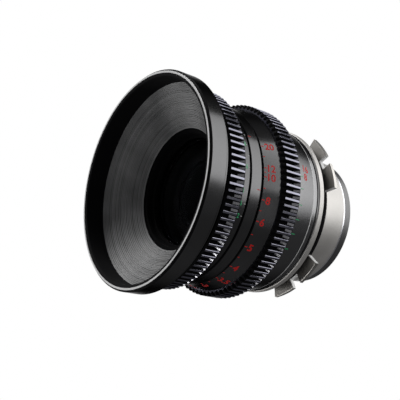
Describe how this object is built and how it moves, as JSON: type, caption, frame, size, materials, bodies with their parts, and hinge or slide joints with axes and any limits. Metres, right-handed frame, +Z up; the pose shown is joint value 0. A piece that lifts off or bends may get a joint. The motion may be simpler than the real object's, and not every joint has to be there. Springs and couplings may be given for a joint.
{
  "type": "cinema prime lens",
  "caption": "Cinema prime lens with geared iris and focus rings, ribbed hood cone, bladed iris and a steel four-lobe bayonet mount.",
  "frame": {"origin": "centre of the locating tube in the plane of the mount seat", "axes": "optical axis along Y, front toward -Y, mount tube toward +Y, +Z up"},
  "size_m": [0.085, 0.0873, 0.085],
  "materials": {
    "black_satin": "black anodised, satin gloss",
    "matte_grey": "ribbed, matte dark grey",
    "dark_grey": "dark anodised",
    "black_matte": "matte black",
    "gear_black": "blue-black anodised",
    "steel": "turned stainless steel",
    "steel_black": "black oxide",
    "blade_black": "blackened",
    "brass": "bare",
    "glass": "coated"
  },
  "bodies": {
    "barrel": {"front_barrel": "black_satin", "front_cone": "matte_grey", "main_barrel": "dark_grey", "index_ring": "black_satin", "rear_barrel": "black_satin", "shim_ring": "steel", "pl_mount": "steel", "mount_screws": "steel", "rear_ring": "black_matte", "front_cell": "black_matte", "front_element": "glass", "front_retainer": "black_matte", "iris_base": "black_matte", "focus_stop": "steel"},
    "iris": {"iris_ring": "gear_black", "iris_actuator": "dark_grey", "iris_pin": "steel"},
    "focus": {"focus_ring": "gear_black", "cam_sleeve": "brass", "focus_screws": "steel_black"},
    "carriage": {"focus_carriage": "dark_grey", "focus_pin": "steel", "guide_keys": "brass", "rear_element_1": "glass", "rear_element_2": "glass", "carriage_retainer": "black_matte", "rear_retainer": "black_matte"},
    "blade_1": {"blade_1": "blade_black"},
    "blade_2": {"blade_2": "blade_black"},
    "blade_3": {"blade_3": "blade_black"},
    "blade_4": {"blade_4": "blade_black"},
    "blade_5": {"blade_5": "blade_black"},
    "blade_6": {"blade_6": "blade_black"}
  },
  "joints": [
    {"name": "iris_turn", "type": "hinge", "parent": "barrel", "child": "iris", "pos_m": [0, -0.0505, 0], "axis": [0, -1, 0], "range_deg": [0, 50]},
    {"name": "focus_turn", "type": "hinge", "parent": "barrel", "child": "focus", "pos_m": [0, -0.0305, 0], "axis": [0, -1, 0], "range_deg": [0, 240]},
    {"name": "carriage_slide", "type": "slide", "parent": "barrel", "child": "carriage", "axis": [0, -1, 0], "range_m": [0, 0.006]},
    {"name": "blade_1_turn", "type": "hinge", "parent": "barrel", "child": "blade_1", "pos_m": [0.0253, -0.0375, 0], "axis": [0, -1, 0], "range_deg": [0, 25]},
    {"name": "blade_2_turn", "type": "hinge", "parent": "barrel", "child": "blade_2", "pos_m": [0.01265, -0.0379, 0.02191], "axis": [0, -1, 0], "range_deg": [0, 25]},
    {"name": "blade_3_turn", "type": "hinge", "parent": "barrel", "child": "blade_3", "pos_m": [-0.01265, -0.0383, 0.02191], "axis": [0, -1, 0], "range_deg": [0, 25]},
    {"name": "blade_4_turn", "type": "hinge", "parent": "barrel", "child": "blade_4", "pos_m": [-0.0253, -0.0387, 0], "axis": [0, -1, 0], "range_deg": [0, 25]},
    {"name": "blade_5_turn", "type": "hinge", "parent": "barrel", "child": "blade_5", "pos_m": [-0.01265, -0.0391, -0.02191], "axis": [0, -1, 0], "range_deg": [0, 25]},
    {"name": "blade_6_turn", "type": "hinge", "parent": "barrel", "child": "blade_6", "pos_m": [0.01265, -0.0395, -0.02191], "axis": [0, -1, 0], "range_deg": [0, 25]}
  ],
  "couplings": [
    {"joint": "carriage_slide", "follows": "focus_turn", "m_per_rad": 0.0014324},
    {"joint": "blade_1_turn", "follows": "iris_turn", "ratio": 0.5},
    {"joint": "blade_2_turn", "follows": "iris_turn", "ratio": 0.5},
    {"joint": "blade_3_turn", "follows": "iris_turn", "ratio": 0.5},
    {"joint": "blade_4_turn", "follows": "iris_turn", "ratio": 0.5},
    {"joint": "blade_5_turn", "follows": "iris_turn", "ratio": 0.5},
    {"joint": "blade_6_turn", "follows": "iris_turn", "ratio": 0.5}
  ]
}
